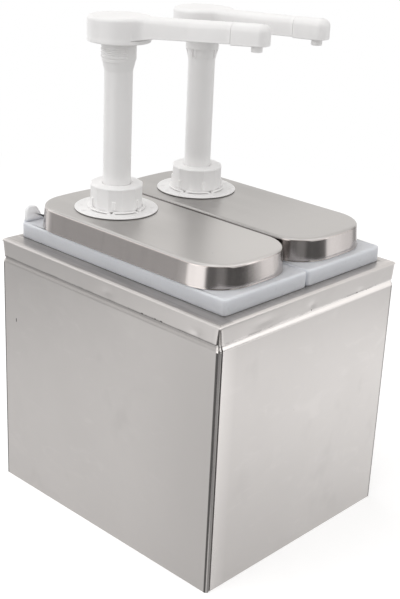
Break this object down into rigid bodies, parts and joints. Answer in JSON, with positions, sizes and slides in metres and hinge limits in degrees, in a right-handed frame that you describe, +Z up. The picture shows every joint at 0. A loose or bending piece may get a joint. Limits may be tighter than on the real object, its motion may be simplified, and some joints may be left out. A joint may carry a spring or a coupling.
{
  "type": "topping pump station",
  "caption": "Folded steel server box with lift-out jars side by side, rounded steel lids and push-down topping pumps with swivelling spout arms.",
  "frame": {"origin": "middle of the box's footprint, on the surface that it stands on", "axes": "+Z up, -Y to the front, where the spouts point, +X to the right as seen from the front"},
  "size_m": [0.22, 0.257, 0.4306],
  "materials": {
    "brushed_sheet": "brushed",
    "lid_steel": "satin",
    "jar_plastic": "satin",
    "pump_plastic": "satin",
    "tube_plastic": "glossy",
    "head_plastic": "glossy",
    "seal_rubber": "matte",
    "spring_steel": "bright",
    "ball_steel": "polished"
  },
  "bodies": {
    "housing": {"top_frame": "brushed_sheet", "side_back_sheet": "brushed_sheet", "front_side_sheet": "brushed_sheet", "base_pan": "brushed_sheet"},
    "left_jar_unit": {"left_jar": "jar_plastic"},
    "left_lid_unit": {"left_lid": "lid_steel", "left_pump_flange": "pump_plastic", "left_flange_gasket": "seal_rubber", "left_flange_nut": "pump_plastic", "left_collar": "pump_plastic", "left_cylinder": "pump_plastic", "left_guide_bush": "pump_plastic", "left_valve_cage": "pump_plastic", "left_dip_tube": "pump_plastic", "left_spring": "spring_steel"},
    "left_plunger": {"left_piston": "pump_plastic", "left_piston_seal": "seal_rubber"},
    "left_pump_head": {"left_stem": "tube_plastic", "left_head": "head_plastic", "left_nozzle": "head_plastic"},
    "left_suction_ball": {"left_inlet_ball": "ball_steel"},
    "left_delivery_ball": {"left_outlet_ball": "ball_steel"},
    "right_jar_unit": {"right_jar": "jar_plastic"},
    "right_lid_unit": {"right_lid": "lid_steel", "right_pump_flange": "pump_plastic", "right_flange_gasket": "seal_rubber", "right_flange_nut": "pump_plastic", "right_collar": "pump_plastic", "right_cylinder": "pump_plastic", "right_guide_bush": "pump_plastic", "right_valve_cage": "pump_plastic", "right_dip_tube": "pump_plastic", "right_spring": "spring_steel"},
    "right_plunger": {"right_piston": "pump_plastic", "right_piston_seal": "seal_rubber"},
    "right_pump_head": {"right_stem": "tube_plastic", "right_head": "head_plastic", "right_nozzle": "head_plastic"},
    "right_suction_ball": {"right_inlet_ball": "ball_steel"},
    "right_delivery_ball": {"right_outlet_ball": "ball_steel"}
  },
  "joints": [
    {"name": "left_jar_lift", "type": "slide", "parent": "housing", "child": "left_jar_unit", "axis": [0, 0, 1], "range_m": [0, 0.205]},
    {"name": "left_lid_lift", "type": "slide", "parent": "left_jar_unit", "child": "left_lid_unit", "axis": [0, 0, 1], "range_m": [0, 0.22]},
    {"name": "left_pump_stroke", "type": "slide", "parent": "left_lid_unit", "child": "left_plunger", "axis": [0, 0, -1], "range_m": [0, 0.092], "stiffness_N_per_m": 150, "springref_m": -0.03, "deforming": ["left_spring"]},
    {"name": "left_head_swivel", "type": "hinge", "parent": "left_plunger", "child": "left_pump_head", "pos_m": [-0.0455, 0.0543, 0.4036], "axis": [0, 0, 1], "range_deg": [-194, 0]},
    {"name": "left_suction_ball_lift", "type": "slide", "parent": "left_lid_unit", "child": "left_suction_ball", "axis": [0, 0, 1], "range_m": [0, 0.003]},
    {"name": "left_delivery_ball_lift", "type": "slide", "parent": "left_plunger", "child": "left_delivery_ball", "axis": [0, 0, 1], "range_m": [0, 0.003]},
    {"name": "right_jar_lift", "type": "slide", "parent": "housing", "child": "right_jar_unit", "axis": [0, 0, 1], "range_m": [0, 0.205]},
    {"name": "right_lid_lift", "type": "slide", "parent": "right_jar_unit", "child": "right_lid_unit", "axis": [0, 0, 1], "range_m": [0, 0.22]},
    {"name": "right_pump_stroke", "type": "slide", "parent": "right_lid_unit", "child": "right_plunger", "axis": [0, 0, -1], "range_m": [0, 0.092], "stiffness_N_per_m": 150, "springref_m": -0.03, "deforming": ["right_spring"]},
    {"name": "right_head_swivel", "type": "hinge", "parent": "right_plunger", "child": "right_pump_head", "pos_m": [0.0521, 0.0543, 0.4036], "axis": [0, 0, 1], "range_deg": [-14, 180]},
    {"name": "right_suction_ball_lift", "type": "slide", "parent": "right_lid_unit", "child": "right_suction_ball", "axis": [0, 0, 1], "range_m": [0, 0.003]},
    {"name": "right_delivery_ball_lift", "type": "slide", "parent": "right_plunger", "child": "right_delivery_ball", "axis": [0, 0, 1], "range_m": [0, 0.003]}
  ]
}
